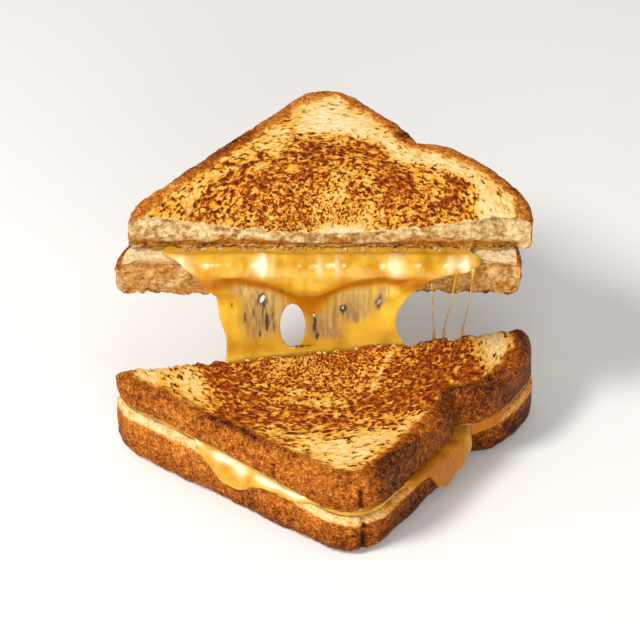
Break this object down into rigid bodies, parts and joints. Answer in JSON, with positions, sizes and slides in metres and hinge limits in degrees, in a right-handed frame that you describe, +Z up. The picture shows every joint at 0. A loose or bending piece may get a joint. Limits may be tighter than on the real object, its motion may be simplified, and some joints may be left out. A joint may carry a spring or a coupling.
{
  "type": "grilled cheese sandwich",
  "caption": "Toasted cheese sandwich cut corner to corner, its halves pulled apart, one raised above the other and joined by a sheet of stretched melted cheese.",
  "frame": {"origin": "on the floor, under the middle of the whole sandwich's bounding box", "axes": "+X along the cut edges, +Y towards the corner of the raised half, +Z up"},
  "size_m": [0.1556, 0.1518, 0.1023],
  "materials": {
    "lower_bottom_bread": "matte",
    "lower_top_bread": "matte",
    "upper_bottom_bread": "matte",
    "upper_top_bread": "matte",
    "melted_cheese": "gloss"
  },
  "bodies": {
    "root": {"lower_bottom_slice": "lower_bottom_bread", "lower_top_slice": "lower_top_bread", "upper_bottom_slice": "upper_bottom_bread", "upper_top_slice": "upper_top_bread", "cheese": "melted_cheese", "cheese_thread_1": "melted_cheese", "cheese_thread_2": "melted_cheese", "cheese_thread_3": "melted_cheese"}
  },
  "joints": []
}
